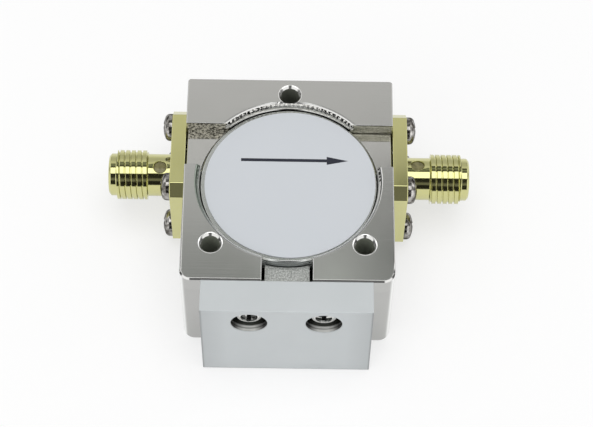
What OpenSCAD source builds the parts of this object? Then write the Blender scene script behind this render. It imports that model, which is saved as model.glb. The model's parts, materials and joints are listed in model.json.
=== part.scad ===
// Coaxial isolator: a plated steel housing with a screwed lid over a ferrite stack, two threaded
// coaxial jacks on opposite sides and a load in a block on the front.
// Frame: base on z = 0, origin under the axis of the round cavity, load face towards -Y,
// connectors along X.

/* [Housing] */
// Width across the two connector faces
housing_w = 25.4; // [25.2:0.1:32]
// Height above the mounting surface
housing_h = 15; // [14.4:0.1:20]
// Wall between the threaded mouth and each connector face
side_wall = 1.75; // [1.5:0.05:2.2]
// Wall between the threaded mouth and the load face
front_wall = 3.05; // [2.6:0.05:4]
// Wall between the back mounting hole and the back face
back_wall = 1.1; // [0.8:0.1:4]
// Radius of the two upright corners at the load face
front_corner_r = 1.4; // [0.5:0.1:3]
// Radius of the two upright corners at the back
back_corner_r = 0.4; // [0.2:0.1:2]

/* [Mounting holes] */
// Diameter of the three through holes
mount_hole_d = 2.2; // [1.6:0.1:2.4]
// Width of the chamfer round the top of each hole
mount_chamfer = 0.3; // [0.1:0.05:0.5]
// Distance from the connector faces to the two holes near the load face
front_hole_side_inset = 3.55; // [3:0.05:4]
// Distance from the load face to those two holes
front_hole_inset = 5; // [3:0.1:5.4]
// Wall left between the back hole and the threaded mouth
back_hole_land = 0.25; // [0.15:0.05:0.6]

/* [Cavity and lid] */
// Width of the chamfer at the mouth
mouth_chamfer = 0.35; // [0.1:0.05:0.5]
// Depth of thread run-out below the lid
thread_runout = 0.4; // [0.2:0.1:0.8]
// Gap between the lid and the threaded mouth, each side
lid_fit = 0.12; // [0.05:0.01:0.2]
// Depth of the top of the lid below the top of the housing
lid_sink = 1.2; // [0.9:0.1:1.8]
// Width of the chamfer round the top of the lid
lid_chamfer = 0.2; // [0.1:0.05:0.3]
// Distance between the two spanner holes in the lid
spanner_pitch = 13; // [10:0.5:17]
// Diameter of a spanner hole
spanner_hole_d = 1.5; // [1:0.1:2]
// Depth of a spanner hole
spanner_hole_depth = 1; // [0.6:0.1:1.5]
// Width of the rim of the lid left bare round the label
label_margin = 0.63; // [0.4:0.01:2.5]
// Thickness of the label
label_t = 0.12; // [0.05:0.01:0.3]

/* [Ferrite stack] */
// Width of the ledge between the threaded mouth and the bore that holds the stack
ledge_w = 0.75; // [0.5:0.05:1.2]
// Gap between that bore and the pole plates and rings, each side
stack_fit = 0.2; // [0.05:0.05:0.3]
// Width of the ceramic rings round the two ferrite discs
ring_w = 3.45; // [2:0.05:4.5]
// Thickness of a ferrite disc
ferrite_t = 1.1; // [0.8:0.1:1.3]
// Gap between a ferrite disc and the ceramic ring round it
ring_fit = 0.05; // [0.02:0.01:0.2]
// Thickness of a pole plate
pole_t = 0.8; // [0.5:0.1:1]
// Distance of the edge of a magnet inside the edge of its pole plate
magnet_margin = 1; // [0.5:0.1:3]
// Thickness of a magnet
magnet_t = 1.5; // [1.1:0.1:1.8]
// Distance of the edge of a temperature compensation disc inside the edge of the pole plate
compensator_margin = 1.5; // [0.5:0.1:4]
// Thickness of a temperature compensation disc
compensator_t = 0.4; // [0.2:0.1:0.6]
// Width of the chamfer round the magnets
magnet_chamfer = 0.2; // [0.1:0.05:0.4]

/* [Centre conductor] */
// Thickness of the centre conductor
strip_t = 0.2; // [0.1:0.05:0.3]
// Width of its three strips
strip_w = 1.8; // [1.2:0.1:2.6]
// Diameter of its hub
hub_d = 8; // [6:0.5:10]
// Reach of the three tuning stubs from the centre
stub_reach = 5.6; // [5.2:0.1:8]
// Width of a tuning stub
stub_w = 1.4; // [1:0.1:2.4]
// Distance that each strip stops short of the outer face
strip_setback = 0.4; // [0.2:0.1:0.8]

/* [Ports] */
// Distance of the connector axes behind the cavity axis
port_offset = 4.95; // [4.5:0.05:5.3]
// Width of the channel round each strip
channel_w = 4.4; // [3.6:0.1:4.8]
// Height of that channel
channel_h = 5; // [4.4:0.1:5.4]
// Width of the slots above the two connector channels
slot_w = 5.9; // [5.7:0.1:6.2]
// Depth of the top of the slot covers below the top of the housing
slot_cover_sink = 1.85; // [1.4:0.05:3]
// Gap between a cover and the sides of its slot, each side
slot_cover_fit = 0.1; // [0.02:0.01:0.15]
// Gap between a cover and the connector flange
slot_cover_setback = 0.15; // [0.1:0.05:0.6]
// Width of the notch above the load channel
notch_w = 6; // [5.8:0.1:6.6]
// Depth of the top of the notch cover below the top of the housing
notch_cover_sink = 2.1; // [1.4:0.1:3]
// Gap between that cover and the sides of the notch, each side
notch_cover_fit = 0.3; // [0.05:0.01:0.4]
// Gap between the covers and the threaded mouth
cover_nose_gap = 0.05; // [0.02:0.01:0.2]

/* [Connectors] */
// Side of the square flange
flange_w = 12.6; // [12.2:0.1:13.4]
// Thickness of the flange
flange_t = 1.8; // [1.2:0.1:2.2]
// Width of the 45 degree cut at the corners of the flange
flange_corner_cut = 1.35; // [0.4:0.05:1.6]
// Distance between the screws of a flange
flange_pitch = 8.64; // [8.5:0.02:8.8]
// Length from the mounting face to the tip
jack_l = 9.7; // [9.5:0.1:12]
// Diameter of the smooth neck
neck_d = 5.3; // [5:0.1:5.6]
// Distance from the mounting face to the thread
thread_start = 4.85; // [4.6:0.05:5]
// Length of the thread
thread_l = 3.9; // [3:0.1:4.2]
// Outside diameter of the thread
thread_od = 6.35; // [6.2:0.05:6.5]
// Width of the chamfer at the root end of the thread
thread_chamfer = 0.25; // [0.1:0.05:0.3]
// Diameter of the plain tip ahead of the thread
tip_d = 5.3; // [5.2:0.05:6]
// Width of the chamfer round the tip
tip_chamfer = 0.25; // [0.1:0.05:0.3]
// Diameter of the socket at the tip
socket_d = 4.6; // [4.4:0.05:4.8]
// Depth of that socket down to the insulator
socket_depth = 1.9; // [1.6:0.1:2.2]
// Diameter of the insulator
insulator_d = 4.1; // [3.8:0.05:4.2]
// Gap round the insulator, the contact and the epoxy, each side
bush_gap = 0.02; // [0.01:0.01:0.05]

/* [Contacts] */
// Diameter of the contact
contact_d = 1.27; // [1.1:0.01:1.4]
// Diameter of the hole for the mating pin
pin_hole_d = 0.95; // [0.8:0.01:1]
// Depth of that hole
pin_hole_depth = 2.5; // [2:0.1:3.2]
// Width of the two spring slits in the contact
slit_w = 0.15; // [0.1:0.01:0.25]
// Diameter of the tail that is soldered to the strip
tail_d = 0.9; // [0.6:0.05:1]
// Length of the tail inside the housing
tail_l = 2.2; // [1.6:0.1:2.6]
// Diameter of the epoxy filled cross hole
epoxy_d = 1.6; // [1:0.1:1.8]
// Distance from the mounting face to the cross hole
epoxy_at = 3.3; // [3.1:0.05:3.4]
// Depth of the epoxy below the surface of the neck
epoxy_dip = 0.15; // [0.05:0.05:0.3]
// Turn of the cross hole about the axis of the jack, from straight up
epoxy_turn = 9; // [0:1:30]

/* [Flange screws] */
// Thread diameter
flange_screw_d = 2; // [1.6:0.1:2.1]
// Clearance round the thread in the flange, each side
flange_screw_play = 0.1; // [0.05:0.05:0.2]
// Head diameter
flange_head_d = 3.4; // [3:0.1:3.8]
// Head height
flange_head_h = 1.2; // [0.9:0.1:1.6]
// Rise of the domed top of the head
flange_head_dome = 0.45; // [0.2:0.05:0.8]
// Length of thread in the housing
flange_screw_bite = 1.3; // [1:0.1:1.4]

/* [Load block] */
// Distance of its sides from the connector faces, each side
block_side_inset = 2.55; // [1.6:0.05:3.7]
// Distance of its lower and upper ends from the faces of the housing
block_margin = 0.1; // [0.05:0.05:0.5]
// Depth of the block
block_d = 4.1; // [4:0.1:6]
// Distance between its two screws
block_screw_pitch = 8.8; // [8.6:0.1:11]
// Distance from the top of the block down to the screws
block_screw_drop = 3; // [2.6:0.1:3.2]
// Diameter of the counterbores
counterbore_d = 4.3; // [3.4:0.1:4.8]
// Thread diameter of the block screws
block_screw_d = 1.6; // [1.4:0.1:1.8]
// Clearance round the thread in the block, each side
block_screw_play = 0.1; // [0.05:0.05:0.2]
// Head diameter of the block screws
block_head_d = 2.9; // [2.6:0.1:3.2]
// Head height of the block screws
block_head_h = 1.2; // [1:0.1:1.4]
// Rise of the domed top of these heads
block_head_dome = 0.25; // [0.1:0.05:0.4]
// Depth of these heads below the face of the block
block_head_sink = 0.7; // [0.4:0.1:0.9]
// Length of thread in the housing
block_screw_bite = 2.4; // [1.8:0.1:2.6]

/* [Screw threads and drives] */
// Gap between a screw and its tapped hole, each side
tap_gap = 0.03; // [0.01:0.01:0.06]
// Depth of a tapped hole past the end of its screw
tap_runout = 0.15; // [0.05:0.05:0.2]
// Length of the cross drive over its arms
drive_l = 1.9; // [1.4:0.1:2.2]
// Width of an arm of the cross drive
drive_w = 0.5; // [0.3:0.05:0.6]
// Depth of the cross drive
drive_depth = 0.6; // [0.4:0.05:0.8]

/* [Load] */
// Width of the pocket in the back of the block
pocket_w = 8; // [7:0.1:9]
// Height of the pocket
pocket_h = 6.2; // [5.8:0.1:6.6]
// Depth of the pocket
pocket_depth = 2.2; // [2:0.1:2.3]
// Room in the pocket above the port axis
pocket_headroom = 1.8; // [1.4:0.1:2]
// Gap round the carrier in the pocket, each side
carrier_fit = 0.1; // [0.05:0.05:0.2]
// Thickness of the metal carrier
carrier_t = 0.8; // [0.5:0.1:1]
// Side of the square ceramic chip
chip_w = 4.2; // [3.6:0.1:5]
// Thickness of the chip
chip_t = 0.7; // [0.5:0.1:0.8]
// Width of the tab from the chip to the strip
tab_w = 1.2; // [0.8:0.1:1.8]
// Thickness of the tab
tab_t = 0.1; // [0.05:0.05:0.2]
// Height of the tab's foot on the chip
tab_foot = 1.2; // [0.8:0.1:1.4]
// Length of the tab on the strip
tab_lap = 1.2; // [0.6:0.1:2]

/* [Hidden] */
$fn = 64;
// How far a cut runs past the face that it opens
eps = 0.5;
left = -1;
right = 1;
lower = -1;
upper = 1;

// Angle of the connector strips from the X axis, three ports being 120 degrees apart
strip_angle = 30;
side_x = housing_w / 2;
mouth_bore_d = housing_w - 2 * side_wall;
axis_inset = mouth_bore_d / 2 + front_wall;
front_y = -axis_inset;
// Height of the connector axes and of the middle of the stack
port_h = housing_h / 2;

// Heights of the stack, counted from the port axis outwards
ferrite_z = strip_t / 2;
pole_z = ferrite_z + ferrite_t;
magnet_z = pole_z + pole_t;
compensator_z = magnet_z + magnet_t;
stack_half_h = compensator_z + compensator_t;
floor_z = port_h - stack_half_h;
lid_z = port_h + stack_half_h;
lid_t = housing_h - lid_sink - lid_z;
lid_d = mouth_bore_d - 2 * lid_fit;
label_d = lid_d - 2 * label_margin;
stack_bore_d = mouth_bore_d - 2 * ledge_w;
plate_d = stack_bore_d - 2 * stack_fit;
ferrite_d = plate_d - 2 * (ring_w + ring_fit);
magnet_d = plate_d - 2 * magnet_margin;
compensator_d = plate_d - 2 * compensator_margin;
// Where the strips and the tuning stubs begin inside the hub
strip_root = hub_d / 4;

// Channels and their covers
shelf_z = port_h + channel_h / 2;
slot_cover_t = housing_h - slot_cover_sink - shelf_z;
notch_cover_t = housing_h - notch_cover_sink - shelf_z;
elbow_x = port_offset / tan(strip_angle);
cover_nose_r = mouth_bore_d / 2 + cover_nose_gap;

// Mounting holes, and the back face behind the single one
front_hole_x = side_x - front_hole_side_inset;
front_hole_y = front_y + front_hole_inset;
back_hole_y = mouth_bore_d / 2 + back_hole_land + mount_hole_d / 2;
mount_holes = [
    [-front_hole_x, front_hole_y],
    [front_hole_x, front_hole_y],
    [0, back_hole_y]
];
back_y = back_hole_y + mount_hole_d / 2 + back_wall;

// Load block
block_w = housing_w - 2 * block_side_inset;
block_h = housing_h - 2 * block_margin;
block_screw_z = block_margin + block_h - block_screw_drop;
counterbore_depth = block_head_sink + block_head_h;
pocket_z = port_h + pocket_headroom - pocket_h;
pocket_y = front_y - pocket_depth;
chip_y = pocket_y + carrier_t;
chip_z = pocket_z + pocket_h / 2;
tab_y = chip_y + chip_t;
tab_z = port_h + strip_t / 2;

// Rectangle from y0 to y1, centred in x, with its lower and upper corners rounded
module rounded_slab(w, y0, y1, r0, r1, h) {
    linear_extrude(h) difference() {
        translate([-w / 2, y0]) square([w, y1 - y0]);
        for (side = [left, right]) {
            corner_waste(side, 1, [side * (w / 2 - r0), y0 + r0], r0);
            corner_waste(side, -1, [side * (w / 2 - r1), y1 - r1], r1);
        }
    }
}

// What a corner of radius r loses, outside the arc centred at c
module corner_waste(side, up, c, r) {
    translate(c) difference() {
        translate([side > 0 ? 0 : -r - eps, up > 0 ? -r - eps : 0]) square(r + eps);
        circle(r);
    }
}

// Disc with a 45 degree chamfer round its top
module chamfered_disc(d, h, chamfer) {
    rotate_extrude() polygon([
        [0, 0],
        [d / 2, 0],
        [d / 2, h - chamfer],
        [d / 2 - chamfer, h],
        [0, h]
    ]);
}

// Bore with a 45 degree chamfer at its top, to be cut from a face at height h
module chamfered_bore(d, h, chamfer) {
    cylinder(d = d, h = h + eps);
    translate([0, 0, h - chamfer]) cylinder(d1 = d, d2 = d + 2 * (chamfer + eps), h = chamfer + eps);
}

// Puts a piece drawn about +Z, from the mounting face outwards, on the left or right port
module at_port(side) {
    translate([side * side_x, port_offset, port_h])
        rotate([0, 0, side > 0 ? 0 : 180])
        rotate([0, 90, 0])
        children();
}

// Puts a piece on each of the four flange screws
module at_flange_screws() {
    for (x = [-1, 1], y = [-1, 1])
        translate([x * flange_pitch / 2, y * flange_pitch / 2, 0]) children();
}

// Puts a piece drawn about +Z, from the face of the block outwards, on each block screw
module at_block_screws(y) {
    for (side = [left, right])
        translate([side * block_screw_pitch / 2, y, block_screw_z]) rotate([90, 0, 0]) children();
}

// Puts a piece drawn from z = 0 upwards above or below the port axis
module in_stack(side, z) {
    translate([0, 0, port_h]) mirror([0, 0, side > 0 ? 0 : 1]) translate([0, 0, z]) children();
}

// Screw with its head on z = 0, its thread downwards and a cross drive
module screw(d, l, head_d, head_h, dome) {
    dome_r = (pow(head_d / 2, 2) + pow(dome, 2)) / (2 * dome);
    translate([0, 0, -l]) cylinder(d = d, h = l + head_h / 4);
    difference() {
        intersection() {
            cylinder(d = head_d, h = head_h);
            translate([0, 0, head_h - dome_r]) sphere(dome_r);
        }
        for (turn = [0, 90]) rotate([0, 0, turn])
            translate([-drive_l / 2, -drive_w / 2, head_h - drive_depth])
            cube([drive_l, drive_w, drive_depth + eps]);
    }
}

module housing() {
    color([0.72, 0.71, 0.69]) difference() {
        rounded_slab(housing_w, front_y, back_y, front_corner_r, back_corner_r, housing_h);
        cavity_cut();
        for (side = [left, right]) {
            port_cut(side);
            at_port(side) at_flange_screws() tapped_hole(flange_screw_d, flange_screw_bite);
        }
        load_port_cut();
        at_block_screws(front_y) tapped_hole(block_screw_d, block_screw_bite);
        for (hole = mount_holes)
            translate([hole[0], hole[1], -eps]) chamfered_bore(mount_hole_d, housing_h + eps, mount_chamfer);
    }
}

// Stack bore with the wider threaded mouth above it
module cavity_cut() {
    mouth_z = lid_z - thread_runout;
    translate([0, 0, floor_z]) cylinder(d = stack_bore_d, h = housing_h - floor_z, $fn = 128);
    translate([0, 0, mouth_z])
        chamfered_bore(mouth_bore_d, housing_h - mouth_z, mouth_chamfer, $fn = 128);
}

// Channel for a strip with the wider slot above it, from the cavity out through one side
module port_cut(side) {
    reach = side_x + eps;
    for (cut = [[channel_w, port_h - channel_h / 2], [slot_w, shelf_z]])
        translate([side > 0 ? 0 : -reach, port_offset - cut[0] / 2, cut[1]])
        cube([reach, cut[0], housing_h - cut[1] + eps]);
}

// The same through the load face
module load_port_cut() {
    for (cut = [[channel_w, port_h - channel_h / 2], [notch_w, shelf_z]])
        translate([-cut[0] / 2, front_y - eps, cut[1]])
        cube([cut[0], axis_inset + eps, housing_h - cut[1] + eps]);
}

// Hole for the thread of a screw, sunk below z = 0
module tapped_hole(d, bite) {
    depth = bite + tap_runout;
    translate([0, 0, -depth]) cylinder(d = d + 2 * tap_gap, h = depth + eps, $fn = 32);
}

module lid() {
    color([0.75, 0.76, 0.76]) translate([0, 0, lid_z]) difference() {
        chamfered_disc(lid_d, lid_t, lid_chamfer, $fn = 128);
        for (side = [left, right])
            translate([side * spanner_pitch / 2, 0, lid_t - spanner_hole_depth])
            cylinder(d = spanner_hole_d, h = spanner_hole_depth + eps, $fn = 32);
    }
}

module label() {
    color([0.82, 0.84, 0.88]) translate([0, 0, lid_z + lid_t])
        cylinder(d = label_d, h = label_t, $fn = 128);
}

// Loose block in a side slot, on the shelf each side of the channel, with its nose round the lid
module slot_cover(side) {
    w = slot_w - 2 * slot_cover_fit;
    l = side_x - slot_cover_setback;
    color([0.6, 0.6, 0.58]) difference() {
        translate([side > 0 ? 0 : -l, port_offset - w / 2, shelf_z]) cube([l, w, slot_cover_t]);
        cover_nose_cut();
    }
}

module notch_cover() {
    w = notch_w - 2 * notch_cover_fit;
    color([0.66, 0.67, 0.66]) difference() {
        translate([-w / 2, front_y, shelf_z]) cube([w, axis_inset, notch_cover_t]);
        cover_nose_cut();
    }
}

module cover_nose_cut() {
    translate([0, 0, shelf_z - eps])
        cylinder(r = cover_nose_r, h = housing_h - shelf_z + 2 * eps, $fn = 128);
}

module connector_shell(side) {
    color([0.78, 0.72, 0.42]) at_port(side) difference() {
        union() {
            flange_plate();
            jack_barrel();
        }
        translate([0, 0, -eps]) cylinder(d = insulator_d + 2 * bush_gap, h = jack_l + 2 * eps);
        translate([0, 0, jack_l - socket_depth]) cylinder(d = socket_d, h = socket_depth + eps);
        at_flange_screws() translate([0, 0, -eps])
            cylinder(d = flange_screw_d + 2 * flange_screw_play, h = flange_t + 2 * eps, $fn = 32);
        cross_hole(epoxy_d, neck_d);
    }
}

module flange_plate() {
    half = flange_w / 2;
    inner = half - flange_corner_cut;
    linear_extrude(flange_t) polygon([
        [inner, -half],
        [half, -inner],
        [half, inner],
        [inner, half],
        [-inner, half],
        [-half, inner],
        [-half, -inner],
        [-inner, -half]
    ]);
}

// Turned profile of the barrel: neck, thread at its full diameter, plain tip
module jack_barrel() {
    thread_end = thread_start + thread_l;
    run_down = (thread_od - tip_d) / 2;
    rotate_extrude() polygon([
        [0, 0],
        [neck_d / 2, 0],
        [neck_d / 2, thread_start],
        [thread_od / 2 - thread_chamfer, thread_start],
        [thread_od / 2, thread_start + thread_chamfer],
        [thread_od / 2, thread_end - run_down],
        [tip_d / 2, thread_end],
        [tip_d / 2, jack_l - tip_chamfer],
        [tip_d / 2 - tip_chamfer, jack_l],
        [0, jack_l]
    ]);
}

// Radial hole from the axis of the jack up through the neck
module cross_hole(d, reach) {
    translate([0, 0, epoxy_at]) rotate([0, 0, 180 - epoxy_turn]) rotate([0, 90, 0])
        cylinder(d = d, h = reach, $fn = 48);
}

module insulator(side) {
    color([0.93, 0.93, 0.9]) at_port(side) difference() {
        cylinder(d = insulator_d, h = jack_l - socket_depth);
        translate([0, 0, -eps]) cylinder(d = contact_d + 2 * bush_gap, h = jack_l + 2 * eps, $fn = 48);
        cross_hole(epoxy_d, insulator_d);
    }
}

// Slit pin socket flush with the insulator, with a half round tail lying on the strip
module contact(side) {
    contact_l = jack_l - socket_depth;
    color([0.83, 0.72, 0.38]) at_port(side) {
        difference() {
            cylinder(d = contact_d, h = contact_l, $fn = 48);
            translate([0, 0, contact_l - pin_hole_depth])
                cylinder(d = pin_hole_d, h = pin_hole_depth + eps, $fn = 48);
            for (turn = [0, 90]) rotate([0, 0, turn])
                translate([-contact_d, -slit_w / 2, contact_l - pin_hole_depth])
                cube([2 * contact_d, slit_w, pin_hole_depth + eps]);
        }
        intersection() {
            translate([0, 0, -tail_l]) cylinder(d = tail_d, h = tail_l + eps, $fn = 48);
            translate([-tail_d, -tail_d, -tail_l]) cube([tail_d - strip_t / 2, 2 * tail_d, tail_l + eps]);
        }
    }
}

// Epoxy from the contact out to just below the surface of the neck
module epoxy_plug(side) {
    color([0.42, 0.38, 0.2]) at_port(side) intersection() {
        difference() {
            cross_hole(epoxy_d - 2 * bush_gap, neck_d);
            cylinder(d = contact_d + 2 * bush_gap, h = jack_l, $fn = 48);
        }
        cylinder(d = neck_d - 2 * epoxy_dip, h = jack_l);
    }
}

module flange_screws(side) {
    color([0.68, 0.68, 0.69]) at_port(side) at_flange_screws() translate([0, 0, flange_t])
        screw(flange_screw_d, flange_t + flange_screw_bite, flange_head_d, flange_head_h, flange_head_dome,
            $fn = 32);
}

module load_block() {
    color([0.79, 0.8, 0.81]) difference() {
        translate([-block_w / 2, front_y - block_d, block_margin]) cube([block_w, block_d, block_h]);
        at_block_screws(front_y - block_d) {
            translate([0, 0, -counterbore_depth]) cylinder(d = counterbore_d, h = counterbore_depth + eps);
            translate([0, 0, -block_d - eps])
                cylinder(d = block_screw_d + 2 * block_screw_play, h = block_d + eps, $fn = 32);
        }
        translate([-pocket_w / 2, pocket_y, pocket_z]) cube([pocket_w, pocket_depth + eps, pocket_h]);
    }
}

module load_block_screws() {
    reach = block_d - counterbore_depth + block_screw_bite;
    color([0.6, 0.6, 0.6]) at_block_screws(front_y - block_d + counterbore_depth)
        screw(block_screw_d, reach, block_head_d, block_head_h, block_head_dome, $fn = 32);
}

module load_carrier() {
    w = pocket_w - 2 * carrier_fit;
    h = pocket_h - 2 * carrier_fit;
    color([0.7, 0.62, 0.5]) translate([-w / 2, pocket_y, chip_z - h / 2]) cube([w, carrier_t, h]);
}

module load_chip() {
    color([0.9, 0.9, 0.88]) translate([-chip_w / 2, chip_y, chip_z - chip_w / 2])
        cube([chip_w, chip_t, chip_w]);
}

// Bent tab with its foot on the chip and its arm on the strip
module load_tab() {
    arm_l = front_y + strip_setback + tab_lap - tab_y;
    color([0.85, 0.85, 0.86]) translate([-tab_w / 2, tab_y, 0]) union() {
        translate([0, 0, tab_z]) cube([tab_w, arm_l, tab_t]);
        translate([0, 0, tab_z - tab_foot]) cube([tab_w, tab_t, tab_foot + tab_t]);
    }
}

// Sheet conductor: a hub, three strips 120 degrees apart and three tuning stubs between them
module centre_conductor() {
    color([0.86, 0.84, 0.76]) translate([0, 0, port_h - strip_t / 2]) {
        cylinder(d = hub_d, h = strip_t);
        for (turn = [strip_angle + 60 : 120 : strip_angle + 300]) rotate([0, 0, turn])
            translate([strip_root, -stub_w / 2, 0]) cube([stub_reach - strip_root, stub_w, strip_t]);
        translate([-strip_w / 2, front_y + strip_setback, 0])
            cube([strip_w, axis_inset - strip_setback - strip_root, strip_t]);
        for (side = [left, right]) mirror([side > 0 ? 0 : 1, 0, 0]) linear_extrude(strip_t) bent_strip();
    }
}

// Strip from the hub to the right port, mitred at its elbow
module bent_strip() {
    half = strip_w / 2;
    end_x = side_x - strip_setback;
    elbow = [elbow_x, port_offset];
    start = strip_root * [cos(strip_angle), sin(strip_angle)];
    across = half * [-sin(strip_angle), cos(strip_angle)];
    mitre = half / cos(strip_angle / 2) * [-sin(strip_angle / 2), cos(strip_angle / 2)];
    polygon([
        start + across,
        elbow + mitre,
        [end_x, port_offset + half],
        [end_x, port_offset - half],
        elbow - mitre,
        start - across
    ]);
}

module ferrite(side) {
    color([0.2, 0.19, 0.18]) in_stack(side, ferrite_z) cylinder(d = ferrite_d, h = ferrite_t);
}

module ceramic_ring(side) {
    color([0.9, 0.88, 0.82]) in_stack(side, ferrite_z) difference() {
        cylinder(d = plate_d, h = ferrite_t);
        translate([0, 0, -eps]) cylinder(d = ferrite_d + 2 * ring_fit, h = ferrite_t + 2 * eps);
    }
}

module pole_plate(side) {
    color([0.7, 0.7, 0.7]) in_stack(side, pole_z) cylinder(d = plate_d, h = pole_t);
}

module magnet(side) {
    color([0.25, 0.25, 0.26]) in_stack(side, magnet_z) chamfered_disc(magnet_d, magnet_t, magnet_chamfer);
}

module compensator(side) {
    color([0.6, 0.58, 0.55]) in_stack(side, compensator_z) cylinder(d = compensator_d, h = compensator_t);
}

housing();
lid();
label();
slot_cover(left);  // slot_cover_left
slot_cover(right);  // slot_cover_right
notch_cover();
connector_shell(left);  // connector_shell_left
connector_shell(right);  // connector_shell_right
insulator(left);  // insulator_left
insulator(right);  // insulator_right
contact(left);  // contact_left
contact(right);  // contact_right
epoxy_plug(left);  // epoxy_plug_left
epoxy_plug(right);  // epoxy_plug_right
flange_screws(left);  // flange_screws_left
flange_screws(right);  // flange_screws_right
load_block();
load_block_screws();
load_carrier();
load_chip();
load_tab();
centre_conductor();
ferrite(lower);  // ferrite_lower
ferrite(upper);  // ferrite_upper
ceramic_ring(lower);  // ceramic_ring_lower
ceramic_ring(upper);  // ceramic_ring_upper
pole_plate(lower);  // pole_plate_lower
pole_plate(upper);  // pole_plate_upper
magnet(lower);  // magnet_lower
magnet(upper);  // magnet_upper
compensator(lower);  // compensator_lower
compensator(upper);  // compensator_upper
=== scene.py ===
"""Looks of the coaxial isolator: nickel plated housing, gold plated jacks, blasted load block."""

import json
import math

import bmesh
import bpy
from mathutils import Matrix, Vector

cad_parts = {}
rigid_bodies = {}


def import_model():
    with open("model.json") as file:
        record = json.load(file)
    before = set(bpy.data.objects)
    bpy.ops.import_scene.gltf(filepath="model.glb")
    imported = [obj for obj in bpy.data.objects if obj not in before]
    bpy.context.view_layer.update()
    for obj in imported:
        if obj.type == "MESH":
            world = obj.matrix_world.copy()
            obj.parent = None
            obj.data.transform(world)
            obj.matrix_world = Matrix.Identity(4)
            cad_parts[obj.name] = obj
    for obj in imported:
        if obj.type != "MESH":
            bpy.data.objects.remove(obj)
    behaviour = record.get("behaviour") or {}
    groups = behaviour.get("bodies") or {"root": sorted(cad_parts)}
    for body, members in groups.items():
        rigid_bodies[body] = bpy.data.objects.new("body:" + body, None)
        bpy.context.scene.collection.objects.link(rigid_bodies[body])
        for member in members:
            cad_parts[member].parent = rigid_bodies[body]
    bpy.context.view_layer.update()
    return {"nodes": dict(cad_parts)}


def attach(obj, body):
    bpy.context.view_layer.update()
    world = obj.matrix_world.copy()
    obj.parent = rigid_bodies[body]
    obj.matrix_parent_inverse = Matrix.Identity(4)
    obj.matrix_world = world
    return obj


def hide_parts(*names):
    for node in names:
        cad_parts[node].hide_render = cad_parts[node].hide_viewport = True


for start_object in list(bpy.data.objects):
    bpy.data.objects.remove(start_object)
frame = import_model()

MM = 0.001
UP = Vector((0, 0, 1))
ALONG_X = Vector((1, 0, 0))

# Sizes of the part in millimetres, as in its source
HOUSING_TOP = 15.0
SIDE_X = 12.7
LOAD_FACE_Y = -14.0
FRONT_CORNER_R = 1.4
FRONT_ROUND_Y = LOAD_FACE_Y + FRONT_CORNER_R
MOUTH_R = 10.95
MOUTH_CHAMFER = 0.35
MOUTH_CHAMFER_FOOT = HOUSING_TOP - MOUTH_CHAMFER
MOUNT_HOLE_R = 1.1
MOUNT_CHAMFER = 0.3
MOUNT_CHAMFER_FOOT = HOUSING_TOP - MOUNT_CHAMFER
MOUNT_RIM_R = MOUNT_HOLE_R + MOUNT_CHAMFER
MOUNT_HOLES = ((-9.15, -9.0), (9.15, -9.0), (0.0, 12.3))
LID_R = 10.83
LID_TOP = 13.8
LABEL_TOP = 13.92
PORT_Y = 4.95
PORT_Z = 7.5
SLOT_HALF_W = 2.95
SLOT_BACK_Y = PORT_Y + SLOT_HALF_W
NOTCH_HALF_W = 3.0
FLANGE_T = 1.8
FLANGE_SCREW_OUT = 4.32
FLANGE_HEAD_R = 1.7
THREAD_START = 4.85
THREAD_END = 8.75
THREAD_CREST_R = 3.10
THREAD_ROOT_R = 2.86
THREAD_PITCH = 0.7056
BLOCK_FACE_Y = -18.1
BLOCK_HALF_W = 10.15
BLOCK_SCREW_X = 4.4
BLOCK_SCREW_Z = 11.9
COUNTERBORE_R = 2.15
COUNTERBORE_DEPTH = 1.9


# Camera


def place_camera():
    """Stands the camera where the photograph was taken from."""
    elevation = math.radians(59.15)
    azimuth = math.radians(-0.24)
    roll = math.radians(1.07)
    distance = 236.9
    target = Vector((1.02, 0.25, 6.48)) * MM
    back = Vector((
        math.sin(azimuth) * math.cos(elevation),
        -math.cos(azimuth) * math.cos(elevation),
        math.sin(elevation),
    ))
    level = UP.cross(back).normalized()
    rise = back.cross(level)
    right = math.cos(roll) * level + math.sin(roll) * rise
    over = -math.sin(roll) * level + math.cos(roll) * rise
    camera = bpy.data.objects.new("camera", bpy.data.cameras.new("camera"))
    camera.data.sensor_width = 36
    camera.data.lens = 115.47
    camera.data.clip_start = 0.01
    camera.data.clip_end = 20
    camera.rotation_mode = "QUATERNION"
    camera.rotation_quaternion = Matrix((right, over, back)).transposed().to_quaternion()
    camera.location = target + back * distance * MM
    bpy.context.scene.collection.objects.link(camera)
    bpy.context.scene.camera = camera


# Node helpers


def add_node(tree, kind, inputs=None, **settings):
    """One shader node with its settings; inputs maps a socket to a value or to another node's output."""
    node = tree.nodes.new(kind)
    for name, value in settings.items():
        setattr(node, name, value)
    for socket, value in (inputs or {}).items():
        if isinstance(value, bpy.types.NodeSocket):
            tree.links.new(value, node.inputs[socket])
        else:
            node.inputs[socket].default_value = value
    return node


def ramp(tree, factor, stops):
    """Colour ramp over the given (position, grey or colour) stops."""
    node = add_node(tree, "ShaderNodeValToRGB", {"Fac": factor})
    points = node.color_ramp.elements
    while len(points) < len(stops):
        points.new(0.5)
    for point, (position, tone) in zip(points, stops):
        point.position = position
        point.color = (tone, tone, tone, 1) if isinstance(tone, (int, float)) else (*tone, 1)
    return node.outputs["Color"]


def math_node(tree, operation, first, second=0.0, third=0.0, clamp=False):
    """Result of one sum on values or node outputs."""
    return add_node(
        tree, "ShaderNodeMath", {0: first, 1: second, 2: third}, operation=operation, use_clamp=clamp
    ).outputs[0]


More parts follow.
